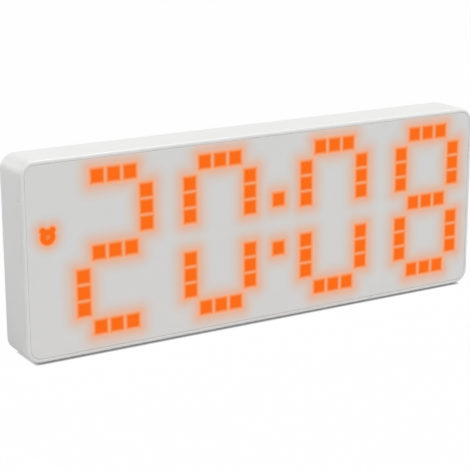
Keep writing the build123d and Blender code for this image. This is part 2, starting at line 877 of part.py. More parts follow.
socket_insulator.part.label = "socket_insulator"
export_step(socket_insulator.part, "parts/socket_insulator.step")

# Sounder
with BuildPart() as sounder:
    with BuildSketch(upright(board_back)):
        with Locations((sounder_x, sounder_z)):
            Circle(sounder_diameter / 2)
    extrude(amount=-sounder_height)
    with BuildSketch(upright(board_back + sounder_height)):
        with Locations((sounder_x, sounder_z)):
            Circle(sounder_port_diameter / 2)
    extrude(amount=sounder_port_depth, mode=Mode.SUBTRACT)

sounder.part.label = "sounder"
export_step(sounder.part, "parts/sounder.step")

# Microphone in its rubber boot, pressed against the ledge behind the pinhole
boot_start = -case_width / 2 + ledge_inset
boot_centre = (front_y + microphone_depth, microphone_z)
with BuildPart() as microphone_boot:
    with BuildSketch(Plane.YZ.offset(boot_start)):
        with Locations(boot_centre):
            Circle(boot_diameter / 2)
    extrude(amount=boot_length)
    with BuildSketch(Plane.YZ.offset(boot_start + boot_front)):
        with Locations(boot_centre):
            Circle(microphone_diameter / 2 + microphone_seat_gap)
    extrude(amount=boot_length, mode=Mode.SUBTRACT)
    with BuildSketch(Plane.YZ.offset(boot_start)):
        with Locations((front_y + pinhole_depth, microphone_z)):
            Circle(pinhole_diameter / 2)
    extrude(amount=boot_length, mode=Mode.SUBTRACT)

microphone_boot.part.label = "microphone_boot"
export_step(microphone_boot.part, "parts/microphone_boot.step")

with BuildPart() as microphone:
    with BuildSketch(Plane.YZ.offset(boot_start + boot_front)):
        with Locations(boot_centre):
            Circle(microphone_diameter / 2)
    extrude(amount=microphone_length)

microphone.part.label = "microphone"
export_step(microphone.part, "parts/microphone.step")


def chip(centre_x, centre_z, length, width, height, lead_count):
    """Moulded chip lying on the board, with bent leads along its two long sides."""
    body_front = board_back + chip_standoff
    with BuildPart() as piece:
        with BuildSketch(upright(body_front)):
            with Locations((centre_x, centre_z)):
                Rectangle(length, width)
        extrude(amount=-height)
        chamfer(piece.faces().sort_by(Axis.Y)[-1].edges(), chip_edge_chamfer)
        for i in range(lead_count):
            lead_x = centre_x + (i - (lead_count - 1) / 2) * chip_lead_spacing
            for side in (-1, 1):
                root_z = centre_z + side * width / 2
                toe_z = root_z + side * chip_lead_reach
                high = front_y + body_front + height / 2
                low = front_y + board_back
                with BuildSketch(Plane.YZ.offset(lead_x - chip_lead_width / 2)):
                    with BuildLine():
                        Polyline(
                            (high, root_z),
                            (low, toe_z - side * chip_lead_thickness),
                            (low, toe_z),
                            (low + chip_lead_thickness, toe_z),
                            (high + chip_lead_thickness, root_z),
                            close=True,
                        )
                    make_face()
                extrude(amount=chip_lead_width)
    return piece


# Controller and the two chips that drive the lights
control_chip = chip(
    control_chip_x_share * case_width,
    mid_z + control_chip_rise_share * case_height,
    control_chip_length,
    control_chip_width,
    control_chip_height,
    control_chip_lead_count,
)
control_chip.part.label = "control_chip"
export_step(control_chip.part, "parts/control_chip.step")

for i, chip_name in enumerate(["hours_driver_chip", "minutes_driver_chip"]):
    driver_chip = chip(
        driver_chip_x_share * case_width,
        mid_z + driver_chip_rise_share * case_height - i * driver_chip_step,
        driver_chip_length,
        driver_chip_width,
        driver_chip_height,
        driver_chip_lead_count,
    )
    driver_chip.part.label = chip_name
    export_step(driver_chip.part, "parts/" + chip_name + ".step")

# Watch crystal, lying on the board with its two wires
crystal_x = crystal_x_share * case_width
crystal_y = front_y + board_back + crystal_diameter / 2
crystal_bottom = mid_z + crystal_rise_share * case_height - crystal_length / 2
with BuildPart() as clock_crystal:
    with BuildSketch(Plane.XY.offset(crystal_bottom)):
        with Locations((crystal_x, crystal_y)):
            Circle(crystal_diameter / 2)
    extrude(amount=crystal_length)
    with BuildSketch(Plane.XY.offset(crystal_bottom)):
        for side in (-1, 1):
            with Locations((crystal_x + side * crystal_lead_spread, crystal_y)):
                Rectangle(crystal_lead, crystal_lead)
    extrude(amount=-crystal_lead_length)

clock_crystal.part.label = "clock_crystal"
export_step(clock_crystal.part, "parts/clock_crystal.step")

# Smoothing capacitor: a can on a square base
capacitor_place = (capacitor_x_share * case_width, mid_z)
with BuildPart() as smoothing_capacitor:
    with BuildSketch(upright(board_back)):
        with Locations(capacitor_place):
            Rectangle(capacitor_base, capacitor_base)
    extrude(amount=-capacitor_base_height)
    with BuildSketch(upright(board_back + capacitor_base_height)):
        with Locations(capacitor_place):
            Circle(capacitor_diameter / 2)
    extrude(amount=-(capacitor_height - capacitor_base_height))
    chamfer(smoothing_capacitor.faces().sort_by(Axis.Y)[-1].edges(), capacitor_edge_chamfer)

smoothing_capacitor.part.label = "smoothing_capacitor"
export_step(smoothing_capacitor.part, "parts/smoothing_capacitor.step")

# Resistors for the digits, in rows
with BuildPart() as chip_resistors:
    with BuildSketch(upright(board_back)):
        with Locations((resistor_x_share * case_width, mid_z + resistor_rise_share * case_height)):
            with GridLocations(resistor_step_x, resistor_step_z, resistor_column_count, resistor_row_count):
                Rectangle(resistor_width, resistor_length)
    extrude(amount=-resistor_height)

chip_resistors.part.label = "chip_resistors"
export_step(chip_resistors.part, "parts/chip_resistors.step")

# Two wires from the end of the bay to the board
with BuildPart() as battery_leads:
    for side in (-1, 1):
        lead_z = mid_z + side * lead_spread / 2
        lead_start = -(bay_length / 2 + bay_wall)
        lead_y = front_y + cell_depth
        with BuildLine() as lead_line:
            FilletPolyline(
                (lead_start, lead_y, lead_z),
                (lead_start - lead_reach, lead_y, lead_z),
                (lead_start - lead_reach, front_y + board_back, lead_z),
                radius=lead_bend,
            )
        with BuildSketch(Plane(origin=lead_line.line @ 0, z_dir=(-1, 0, 0))):
            RegularPolygon(lead_diameter / 2, 6)
        sweep(path=lead_line.line)

battery_leads.part.label = "battery_leads"
export_step(battery_leads.part, "parts/battery_leads.step")

# Rubber feet
with BuildPart() as rubber_feet:
    with BuildSketch():
        with Locations((-foot_x, front_y + case_depth / 2), (foot_x, front_y + case_depth / 2)):
            SlotOverall(foot_length - 2 * foot_gap, foot_width - 2 * foot_gap)
    extrude(amount=foot_proud + foot_sink)

rubber_feet.part.label = "rubber_feet"
export_step(rubber_feet.part, "parts/rubber_feet.step")
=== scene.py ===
# %% [markdown]
# # A white desk clock with a glowing front
# The clock is a thin white slab that stands on its own base. Its whole front is one pale
# diffusing sheet, and square orange lights behind it make the digits. All its pieces come
# from the CAD model, so this lesson is about finishes: moulded plastic, rubber, plated steel,
# and a sheet that glows where a light stands behind it. Of the clock itself, only the printed
# marks on the back are made here.

# %% Load the clock's pieces
import json
import math

import bmesh
import bpy
from mathutils import Matrix, Quaternion, Vector


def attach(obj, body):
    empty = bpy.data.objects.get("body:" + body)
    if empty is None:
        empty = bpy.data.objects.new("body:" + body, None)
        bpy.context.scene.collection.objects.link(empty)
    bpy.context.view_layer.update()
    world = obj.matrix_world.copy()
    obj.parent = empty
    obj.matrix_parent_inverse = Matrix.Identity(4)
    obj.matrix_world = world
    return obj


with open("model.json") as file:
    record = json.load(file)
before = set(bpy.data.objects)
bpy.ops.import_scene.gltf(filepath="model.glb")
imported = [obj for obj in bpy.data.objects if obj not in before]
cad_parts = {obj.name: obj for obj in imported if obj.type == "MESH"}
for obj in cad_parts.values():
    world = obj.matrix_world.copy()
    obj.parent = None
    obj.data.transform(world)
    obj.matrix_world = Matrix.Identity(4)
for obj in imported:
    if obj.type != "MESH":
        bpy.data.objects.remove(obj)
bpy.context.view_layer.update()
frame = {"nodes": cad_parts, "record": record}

# %% [markdown]
# The camera comes first, because every other choice is judged through it. It looks at the
# clock from the left and a little from above, through a long lens, so the far end of the slab
# is only slightly smaller than the near one. It could be placed by typing its position, but a
# turn, a drop and a distance from the point it aims at are easier to judge one at a time.

# %% Camera
MM = 0.001
CAMERA_TURN = math.radians(31.04)
CAMERA_DROP = math.radians(14.99)
CAMERA_ROLL = math.radians(-0.24)
CAMERA_DISTANCE = 576.1 * MM
CAMERA_LENS = 116.76
SENSOR_WIDTH = 36
AIM_POINT = Vector((-13.63, -9.4, 36.67)) * MM

look_along = Vector((
    math.sin(CAMERA_TURN) * math.cos(CAMERA_DROP),
    math.cos(CAMERA_TURN) * math.cos(CAMERA_DROP),
    -math.sin(CAMERA_DROP),
))
roll = Quaternion((0, 0, 1), CAMERA_ROLL)
camera_data = bpy.data.cameras.new("camera")
camera_data.lens = CAMERA_LENS
camera_data.sensor_width = SENSOR_WIDTH
camera = bpy.data.objects.new("camera", camera_data)
camera.location = AIM_POINT - look_along * CAMERA_DISTANCE
camera.rotation_mode = "QUATERNION"
camera.rotation_quaternion = look_along.to_track_quat("-Z", "Y") @ roll
bpy.context.scene.collection.objects.link(camera)
bpy.context.scene.camera = camera
bpy.context.scene.view_settings.view_transform = "Standard"
print("camera at", tuple(round(v, 4) for v in camera.location))

# %% [markdown]
# Finishes are trees of nodes. Each node takes a few lines to add, fill and wire, and the same
# lines come back dozens of times. A few small helpers take them up, so that a tree reads like
# a list of what it works out. Each node is also given a place, so the trees open tidily in the
# editor.

# %% Small helpers for node trees
def add_node(tree, kind, place, **settings):
    """A node of that kind in the tree, with its settings made and its sockets filled by name."""
    node = tree.nodes.new(kind)
    node.location = place
    for name, value in settings.items():
        if hasattr(node, name):
            setattr(node, name, value)
        else:
            node.inputs[name.replace("_", " ")].default_value = value
    return node


def join(tree, source, target):
    """A wire from one socket to another."""
    tree.links.new(source, target)


def fill(tree, socket, value):
    """Gives a socket a wire from another socket, or a number, or a colour of three parts."""
    if isinstance(value, bpy.types.NodeSocket):
        join(tree, value, socket)
    elif isinstance(value, tuple):
        socket.default_value = (*value, 1)
    else:
        socket.default_value = value


def add_math(tree, operation, place, *terms):
    """The result of a Math node. Its terms are sockets or numbers."""
    node = add_node(tree, "ShaderNodeMath", place, operation=operation)
    for socket, value in zip(node.inputs, terms):
        fill(tree, socket, value)
    return node.outputs[0]


# A Mix node has sockets for every kind of value, and these are the ones for colours
FIRST_COLOUR = 6
SECOND_COLOUR = 7
BLENDED_COLOUR = 2


def add_blend(tree, place, first, second, share, blend_type="MIX"):
    """The blend of two colours by a share. Each of the three is a socket or a value."""
    node = add_node(tree, "ShaderNodeMix", place, data_type="RGBA", blend_type=blend_type)
    fill(tree, node.inputs[FIRST_COLOUR], first)
    fill(tree, node.inputs[SECOND_COLOUR], second)
    fill(tree, node.inputs[0], share)
    return node.outputs[BLENDED_COLOUR]


print("helpers for nodes, wires, sums and blends")

# %% [markdown]
# A product photograph on white has light from all round, and the world gives that even light.
# A bright world alone would make the background white too, but it would also wash out the
# clock. So the world has two strengths. Rays that come straight from the camera, and those
# that mirror or pass through something, see plain white. All others see a dimmer light.

# %% Even light from the world
WORLD_LIGHT = 0.26
PURE_WHITE = (1, 1, 1, 1)

world = bpy.data.worlds.new("studio")
bpy.context.scene.world = world
world.use_nodes = True
sky = world.node_tree
sky.nodes.clear()
path = add_node(sky, "ShaderNodeLightPath", (-600, 0))
seen = add_math(
    sky, "MAXIMUM", (-400, 0), path.outputs["Is Camera Ray"], path.outputs["Is Glossy Ray"]
)
plain_view = add_math(sky, "MAXIMUM", (-200, 0), seen, path.outputs["Is Transmission Ray"])
soft_light = add_node(
    sky, "ShaderNodeBackground", (-200, -200), Color=PURE_WHITE, Strength=WORLD_LIGHT
)
white_wall = add_node(sky, "ShaderNodeBackground", (-200, -350), Color=PURE_WHITE, Strength=1.0)
either = add_node(sky, "ShaderNodeMixShader", (50, 0))
sky_out = add_node(sky, "ShaderNodeOutputWorld", (250, 0))
join(sky, plain_view, either.inputs[0])
join(sky, soft_light.outputs[0], either.inputs[1])
join(sky, white_wall.outputs[0], either.inputs[2])
join(sky, either.outputs[0], sky_out.inputs[0])
print("world light", WORLD_LIGHT)

# %% [markdown]
# Six soft lamps shape the slab. The key lamp hangs to the right and a little in front, so the
# top is the lightest side that shows and the front edge of the top catches a bright line. A
# large lamp and a small, near one stand on the right and turn the rim bright at that end. A
# small one stands near the left end, whose light fades towards the foot of that side. One in
# front lights the sheet evenly, and one behind lights the back, which the camera doesn't see.

# %% Lamps
# Each row holds a name, a place and a width in metres, and a power in watts
LAMPS = [
    ("right_lamp", (0.90, -0.16, 0.55), 0.6, 1.7),
    ("rim_lamp", (0.35, -0.02, 0.10), 0.1, 0.09),
    ("key_lamp", (0.25, -0.25, 1.00), 0.3, 4.8),
    ("left_lamp", (-0.25, 0.05, 0.22), 0.1, 0.1),
    ("front_lamp", (-0.62, -1.12, 0.45), 0.8, 5.2),
    ("back_lamp", (-0.35, 1.20, 0.20), 0.5, 1.8),
]
LAMP_AIM = Vector((0, 0, 0.04))

for name, place, size, power in LAMPS:
    lamp = bpy.data.lights.new(name, "AREA")
    lamp.size = size
    lamp.energy = power
    lamp_object = bpy.data.objects.new(name, lamp)
    lamp_object.location = place
    lamp_object.rotation_mode = "QUATERNION"
    lamp_object.rotation_quaternion = (LAMP_AIM - Vector(place)).to_track_quat("-Z", "Y")
    bpy.context.scene.collection.objects.link(lamp_object)
print("lamps:", [name for name, *_ in LAMPS])

# %% [markdown]
# The floor is a pale disc, wide enough that its edge never shows. It belongs to the studio
# and not to the clock.

# %% Floor
FLOOR_RADIUS = 4.0
FLOOR_SIDES = 96

floor_mesh = bpy.data.meshes.new("floor")
shape = bmesh.new()
bmesh.ops.create_circle(shape, cap_ends=True, segments=FLOOR_SIDES, radius=FLOOR_RADIUS)
shape.to_mesh(floor_mesh)
shape.free()
floor = bpy.data.objects.new("floor", floor_mesh)
bpy.context.scene.collection.objects.link(floor)
print("floor radius", FLOOR_RADIUS)

# %% [markdown]
# White paper under soft light still comes out grey. For the camera, then, the floor is mostly
# a plain white glow, with a little of the real paper left in it to carry the shadow. Under the
# clock, where light hardly gets in, the glow has to go dark. Ambient occlusion says how open
# the air is within about a millimetre, and the glow follows that. From below the floor is
# clear, so that the base can be looked at too.

# %% The floor's finish
FLOOR_WHITENESS = 0.985
FLOOR_REACH = 1.2 * MM
GAP_POWER = 1.2
GAP_SAMPLES = 8
PAPER = (0.6, 0.6, 0.6, 1)

floor_finish = bpy.data.materials.new("floor_finish")
floor_finish.use_nodes = True
ground = floor_finish.node_tree
ground.nodes.clear()
paper = add_node(ground, "ShaderNodeBsdfDiffuse", (-200, 0), Color=PAPER)
gap = add_node(
    ground, "ShaderNodeAmbientOcclusion", (-600, -200), Distance=FLOOR_REACH, samples=GAP_SAMPLES
)
open_air = add_math(ground, "POWER", (-400, -200), gap.outputs["AO"], GAP_POWER)
white_glow = add_node(ground, "ShaderNodeEmission", (-200, -200), Color=PURE_WHITE)
join(ground, open_air, white_glow.inputs["Strength"])
floor_path = add_node(ground, "ShaderNodeLightPath", (-600, 300))
floor_seen = add_math(
    ground, "MAXIMUM", (-400, 300),
    floor_path.outputs["Is Camera Ray"], floor_path.outputs["Is Glossy Ray"],
)
whiten = add_math(ground, "MULTIPLY", (-200, 300), floor_seen, FLOOR_WHITENESS)
paper_or_glow = add_node(ground, "ShaderNodeMixShader", (0, 0))
join(ground, whiten, paper_or_glow.inputs[0])
join(ground, paper.outputs[0], paper_or_glow.inputs[1])
join(ground, white_glow.outputs[0], paper_or_glow.inputs[2])
side_seen = add_node(ground, "ShaderNodeNewGeometry", (0, 300))
clear = add_node(ground, "ShaderNodeBsdfTransparent", (0, -200))
one_way = add_node(ground, "ShaderNodeMixShader", (200, 0))
ground_out = add_node(ground, "ShaderNodeOutputMaterial", (400, 0))
join(ground, side_seen.outputs["Backfacing"], one_way.inputs[0])
join(ground, paper_or_glow.outputs[0], one_way.inputs[1])
join(ground, clear.outputs[0], one_way.inputs[2])
join(ground, one_way.outputs[0], ground_out.inputs[0])
floor_mesh.materials.append(floor_finish)
print("the floor is white to a share of", FLOOR_WHITENESS)

# %% [markdown]
# Moulded plastic is never quite smooth. The steel mould is spark-etched, so its skin has a
# grain of about a tenth of a millimetre, and broad patches that shine a little more or less.
# The same nodes could be copied into each material, but then a change has to be made in all of
# them. One node group with its values as inputs serves them all.

# %% A node group for the skin of moulded plastic
GRAIN_PER_METRE = 9000.0
PATCHES_PER_METRE = 45.0
SHINY = 0.35
DULL = 0.45
FADE = 0.03
# Noise seldom leaves these values, so they stand for its least and most
NOISE_LOW = 0.3
NOISE_HIGH = 0.7


def new_group(name, numbers, outputs):
    """A shader node group with number inputs (name, value) and named outputs."""
    tree = bpy.data.node_groups.new(name, "ShaderNodeTree")
    for label, value in numbers:
        socket = tree.interface.new_socket(label, in_out="INPUT", socket_type="NodeSocketFloat")
        socket.default_value = value
    for label in outputs:
        tree.interface.new_socket(label, in_out="OUTPUT", socket_type="NodeSocketFloat")
    entry = add_node(tree, "NodeGroupInput", (-900, 0))
    leave = add_node(tree, "NodeGroupOutput", (900, 0))
    return tree, entry, leave


mould_skin, skin_in, skin_out = new_group(
    "mould_skin",
    [
        ("Grain per metre", GRAIN_PER_METRE), ("Patches per metre", PATCHES_PER_METRE),
        ("Dull", DULL), ("Shiny", SHINY), ("Fade", FADE),
    ],
    ["Grain", "Roughness", "Tone"],
)
skin_place = add_node(mould_skin, "ShaderNodeTexCoord", (-900, 300))
grain = add_node(mould_skin, "ShaderNodeTexNoise", (-600, 200), Detail=2.0, Roughness=0.6)
patches = add_node(mould_skin, "ShaderNodeTexNoise", (-600, -100), Detail=3.0, Roughness=0.5)
for noise, label in ((grain, "Grain per metre"), (patches, "Patches per metre")):
    join(mould_skin, skin_place.outputs["Object"], noise.inputs["Vector"])
    join(mould_skin, skin_in.outputs[label], noise.inputs["Scale"])
shine = add_node(
    mould_skin, "ShaderNodeMapRange", (-200, -100), From_Min=NOISE_LOW, From_Max=NOISE_HIGH
)
join(mould_skin, patches.outputs[0], shine.inputs["Value"])
join(mould_skin, skin_in.outputs["Shiny"], shine.inputs["To Min"])
join(mould_skin, skin_in.outputs["Dull"], shine.inputs["To Max"])
faded = add_math(
    mould_skin, "MULTIPLY", (-200, -400), patches.outputs[0], skin_in.outputs["Fade"]
)
tone = add_math(mould_skin, "SUBTRACT", (100, -400), 1.0, faded)
join(mould_skin, grain.outputs[0], skin_out.inputs["Grain"])
join(mould_skin, shine.outputs[0], skin_out.inputs["Roughness"])
join(mould_skin, tone, skin_out.inputs["Tone"])
print("group", mould_skin.name)

# %% [markdown]
# Most pieces of the clock are moulded, in plastic, resin or rubber. They differ in colour, in
# how dull they are and in how deep their grain is, so one function makes them all. The case is
# the glossiest of the white ones. The cover behind it has a deeper grain, which hides
# scratches, and rubber hardly shines.

# %% Moulded plastic and rubber
GRAIN_DEPTH = 0.01 * MM
COVER_GRAIN_DEPTH = 0.02 * MM
CASE_WHITE = (0.86, 0.858, 0.85)
finishes = {}


def moulded(slot, colour, shiny=SHINY, dull=DULL, fade=FADE, grain_depth=GRAIN_DEPTH):
    """A moulded finish for a material slot. Returns its tree, its shader and its colour socket."""
    material = bpy.data.materials.new(slot)
    material.use_nodes = True
    tree = material.node_tree
    shader = tree.nodes["Principled BSDF"]
    skin = add_node(
        tree, "ShaderNodeGroup", (-700, 0), node_tree=mould_skin, Shiny=shiny, Dull=dull, Fade=fade
    )
    tinted = add_blend(tree, (-400, 200), colour, skin.outputs["Tone"], 1.0, "MULTIPLY")
    join(tree, tinted, shader.inputs["Base Color"])
    join(tree, skin.outputs["Roughness"], shader.inputs["Roughness"])
    bump = add_node(tree, "ShaderNodeBump", (-400, -200), Strength=1.0, Distance=grain_depth)
    join(tree, skin.outputs["Grain"], bump.inputs["Height"])
    join(tree, bump.outputs[0], shader.inputs["Normal"])
    finishes[slot] = material
    return tree, shader, tinted.node.inputs[FIRST_COLOUR]


moulded("white_case_plastic", CASE_WHITE, shiny=0.33, dull=0.38)
moulded("white_cover_plastic", CASE_WHITE, shiny=0.42, dull=0.52, grain_depth=COVER_GRAIN_DEPTH)
moulded("mask_plastic", (0.9, 0.9, 0.9))
moulded("key_grey", (0.55, 0.56, 0.57))
moulded("switch_black", (0.03, 0.03, 0.032), shiny=0.3, dull=0.4)
moulded("chip_resin", (0.02, 0.02, 0.022), shiny=0.45, dull=0.6)
moulded("microphone_rubber", (0.03, 0.03, 0.03), shiny=0.6, dull=0.75)
moulded("foot_rubber", (0.3, 0.3, 0.31), shiny=0.6, dull=0.8)
moulded("lead_sleeve", (0.5, 0.03, 0.02), shiny=0.25, dull=0.35)
moulded("resistor_ceramic", (0.05, 0.05, 0.055), shiny=0.2, dull=0.3)
print("moulded finishes:", len(finishes))

# %% [markdown]
# Steel and aluminium parts are drawn, stamped or plated. Fine scratches that run one way make
# their shine uneven. The same noise as for plastic does it, stretched along one axis until its
# spots become lines.

# %% A node group for drawn metal
LINES_PER_METRE = 6000.0
METAL_SHINY = 0.25
METAL_DULL = 0.4
LINE_STRETCH = (1.0, 1.0, 0.08)

drawn_metal, metal_in, metal_out = new_group(
    "drawn_metal",
    [("Lines per metre", LINES_PER_METRE), ("Shiny", METAL_SHINY), ("Dull", METAL_DULL)],
    ["Lines", "Roughness"],
)
metal_place = add_node(drawn_metal, "ShaderNodeTexCoord", (-900, 300))
stretch = add_node(drawn_metal, "ShaderNodeMapping", (-700, 300), Scale=LINE_STRETCH)
lines = add_node(drawn_metal, "ShaderNodeTexNoise", (-400, 200), Detail=3.0)
join(drawn_metal, metal_place.outputs["Object"], stretch.inputs["Vector"])
join(drawn_metal, stretch.outputs[0], lines.inputs["Vector"])
join(drawn_metal, metal_in.outputs["Lines per metre"], lines.inputs["Scale"])
metal_shine = add_node(drawn_metal, "ShaderNodeMapRange", (0, 0))
join(drawn_metal, lines.outputs[0], metal_shine.inputs["Value"])
join(drawn_metal, metal_in.outputs["Shiny"], metal_shine.inputs["To Min"])
join(drawn_metal, metal_in.outputs["Dull"], metal_shine.inputs["To Max"])
join(drawn_metal, lines.outputs[0], metal_out.inputs["Lines"])
join(drawn_metal, metal_shine.outputs[0], metal_out.inputs["Roughness"])
print("group", drawn_metal.name)

# %% [markdown]
# Three metals show or lie inside: the shells and pins of the components, the steel of the
# screws and the nickel on the battery contacts, which is the yellowest. A metal's colour is the
# colour of what it mirrors, so only the roughness and the grain change over its surface.

# %% Plated metal
LINE_DEPTH = 0.01 * MM


def plated(slot, colour, shiny, dull):
    """Plated or drawn metal for a material slot."""
    material = bpy.data.materials.new(slot)
    material.use_nodes = True
    tree = material.node_tree
    shader = tree.nodes["Principled BSDF"]
    shader.inputs["Base Color"].default_value = (*colour, 1)
    shader.inputs["Metallic"].default_value = 1.0
    skin = add_node(
        tree, "ShaderNodeGroup", (-600, 0), node_tree=drawn_metal, Shiny=shiny, Dull=dull
    )
    bump = add_node(tree, "ShaderNodeBump", (-300, -200), Strength=0.5, Distance=LINE_DEPTH)
    join(tree, skin.outputs["Lines"], bump.inputs["Height"])
    join(tree, bump.outputs[0], shader.inputs["Normal"])
    join(tree, skin.outputs["Roughness"], shader.inputs["Roughness"])
    finishes[slot] = material


plated("component_metal", (0.75, 0.75, 0.76), 0.25, 0.4)
plated("screw_steel", (0.6, 0.6, 0.61), 0.25, 0.38)
plated("contact_nickel", (0.72, 0.71, 0.67), 0.2, 0.35)
print("finishes with the metals:", len(finishes))

# %% [markdown]
# The front shows where the lights stand. Each light fills one square well in the mask behind
# the sheet, and the sheet blurs its edge and spreads a halo round it. That glow is painted on
# the sheet. An image would be the easy way to paint it, but arithmetic on the object's own
# coordinates stays sharp at any distance.
# The first group gives the distance to the nearest of three squares in a row, which is below
# zero inside a square. It folds the row onto one square: the nearest step along the row is
# taken away, and what is left is measured from that square's middle. Reach is how many squares
# the row has on each side of its middle one.

# %% A node group for three square lights in a row
DOT_WIDTH = 5.01
DOT_HEIGHT = 5.03
STEP_ACROSS = 6.51
STEP_UP = 6.127

dot_row, row_in, row_out = new_group(
    "dot_row",
    [
        ("Along", 0.0), ("Aside", 0.0), ("Step", STEP_ACROSS),
        ("Half along", DOT_WIDTH / 2), ("Half aside", DOT_HEIGHT / 2), ("Reach", 1.0),
    ],
    ["Distance"],
)
steps = add_math(dot_row, "DIVIDE", (-700, 200), row_in.outputs["Along"], row_in.outputs["Step"])
nearest = add_math(dot_row, "ROUND", (-550, 200), steps)
not_over = add_math(dot_row, "MINIMUM", (-400, 200), nearest, row_in.outputs["Reach"])
backwards = add_math(dot_row, "MULTIPLY", (-550, 50), row_in.outputs["Reach"], -1.0)
not_under = add_math(dot_row, "MAXIMUM", (-250, 200), not_over, backwards)
dot_centre = add_math(dot_row, "MULTIPLY", (-100, 200), not_under, row_in.outputs["Step"])
off_centre = add_math(dot_row, "SUBTRACT", (50, 200), row_in.outputs["Along"], dot_centre)
from_middle = add_math(dot_row, "ABSOLUTE", (200, 200), off_centre)
past_along = add_math(
    dot_row, "SUBTRACT", (350, 200), from_middle, row_in.outputs["Half along"]
)
aside = add_math(dot_row, "ABSOLUTE", (200, 0), row_in.outputs["Aside"])
past_aside = add_math(dot_row, "SUBTRACT", (350, 0), aside, row_in.outputs["Half aside"])
print("group", dot_row.name, "steps", STEP_ACROSS, "mm across and", STEP_UP, "mm up")

# %% [markdown]
# Beyond a corner of a square the distance is the slant one, so the halo is round there. Inside
# the square it is the distance to the nearest edge, below zero.

# %% The distance to one square
out_along = add_math(dot_row, "MAXIMUM", (500, 200), past_along, 0.0)
out_aside = add_math(dot_row, "MAXIMUM", (500, 50), past_aside, 0.0)
square_along = add_math(dot_row, "MULTIPLY", (600, 200), out_along, out_along)
square_aside = add_math(dot_row, "MULTIPLY", (600, 50), out_aside, out_aside)
square_sum = add_math(dot_row, "ADD", (700, 150), square_along, square_aside)
outside = add_math(dot_row, "SQRT", (750, 150), square_sum)
deepest = add_math(dot_row, "MAXIMUM", (500, -150), past_along, past_aside)
inside = add_math(dot_row, "MINIMUM", (650, -150), deepest, 0.0)
join(dot_row, add_math(dot_row, "ADD", (800, 0), outside, inside), row_out.inputs["Distance"])
print("a square is", DOT_WIDTH, "by", DOT_HEIGHT, "mm")

# %% [markdown]
# Seven such rows make a digit. A row that isn't lit is pushed far away, so it adds nothing,
# and the smallest of the seven distances is the digit's. A smooth minimum takes it, because
# the glow of two rows adds up where they meet. A plain minimum would leave a crease there.

# %% A node group for one digit of seven rows
ROW_RISE = 28.13
SIDE_RISE = 14.4
FAR_AWAY = 60.0
GLOW_BLEND = 3.0
# Each row holds a name, its place across in steps, and its level from -1 to 1
ROWS = [
    ("Top", 0, 1), ("Middle", 0, 0), ("Bottom", 0, -1),
    ("Upper left", -2, 1), ("Upper right", 2, 1), ("Lower left", -2, -1), ("Lower right", 2, -1),
]

digit, digit_in, digit_out = new_group(
    "digit", [("Across", 0.0), ("Up", 0.0)] + [(name, 1.0) for name, _, _ in ROWS], ["Distance"]
)
closest = None
# In the editor, the nodes of each row stand on a shelf of their own
for index, (name, side, level) in enumerate(ROWS):
    shelf = -200 * index
    upright = side != 0
    rise = level * (SIDE_RISE if upright else ROW_RISE)
    across = add_math(
        digit, "SUBTRACT", (-600, shelf), digit_in.outputs["Across"], side * STEP_ACROSS
    )
    up = add_math(digit, "SUBTRACT", (-400, shelf), digit_in.outputs["Up"], rise)
    row = add_node(
        digit, "ShaderNodeGroup", (-200, shelf), node_tree=dot_row,
        Step=STEP_UP if upright else STEP_ACROSS,
    )
    join(digit, up if upright else across, row.inputs["Along"])
    join(digit, across if upright else up, row.inputs["Aside"])
    unlit = add_math(digit, "SUBTRACT", (0, shelf - 100), 1.0, digit_in.outputs[name])
    pushed = add_math(digit, "MULTIPLY", (150, shelf - 100), unlit, FAR_AWAY)
    away = add_math(digit, "ADD", (300, shelf), row.outputs[0], pushed)
    if closest is None:
        closest = away
    else:
        closest = add_math(digit, "SMOOTH_MIN", (500, shelf), closest, away, GLOW_BLEND)
join(digit, closest, digit_out.inputs["Distance"])
print("group", digit.name, "of", len(ROWS), "rows")

# %% [markdown]
# The display reads 20:08. The four digits and the colon are brought together in one more
# group, so that the sheet and the lights behind it use the same pattern. The colon is a row
# that is mirrored at its middle and has a single square. How high the display sits is measured
# on the CAD model's lights, so the glow can't part from them.

# %% A node group for the whole display
def corners(name):
    """The lowest and the highest corner of a CAD piece, in millimetres."""
    places = [vertex.co / MM for vertex in frame["nodes"][name].data.vertices]
    low = Vector([min(place[axis] for place in places) for axis in range(3)])
    high = Vector([max(place[axis] for place in places) for axis in range(3)])
    return low, high


def middle(name):
    """The middle of a CAD piece's box, in millimetres."""
    low, high = corners(name)
    return (low + high) / 2


DISPLAY_UP = middle("display_leds").z
LIT_ROWS = {
    "2": ("Top", "Middle", "Bottom", "Upper right", "Lower left"),
    "0": ("Top", "Bottom", "Upper left", "Upper right", "Lower left", "Lower right"),
    "8": tuple(name for name, _, _ in ROWS),
}
DIGIT_PLACES = [("2", -64.04), ("0", -19.94), ("0", 31.58), ("8", 77.08)]
COLON_ACROSS = 5.89
COLON_RISE = 9.65

display, _, display_out = new_group("display", [], ["Distance", "Sign"])
display_place = add_node(display, "ShaderNodeTexCoord", (-1400, 0))
in_parts = add_node(display, "ShaderNodeSeparateXYZ", (-1200, 0))
join(display, display_place.outputs["Object"], in_parts.inputs[0])
across_mm = add_math(display, "MULTIPLY", (-1000, 100), in_parts.outputs["X"], 1 / MM)
height_mm = add_math(display, "MULTIPLY", (-1000, -100), in_parts.outputs["Z"], 1 / MM)
up_mm = add_math(display, "SUBTRACT", (-850, -100), height_mm, DISPLAY_UP)

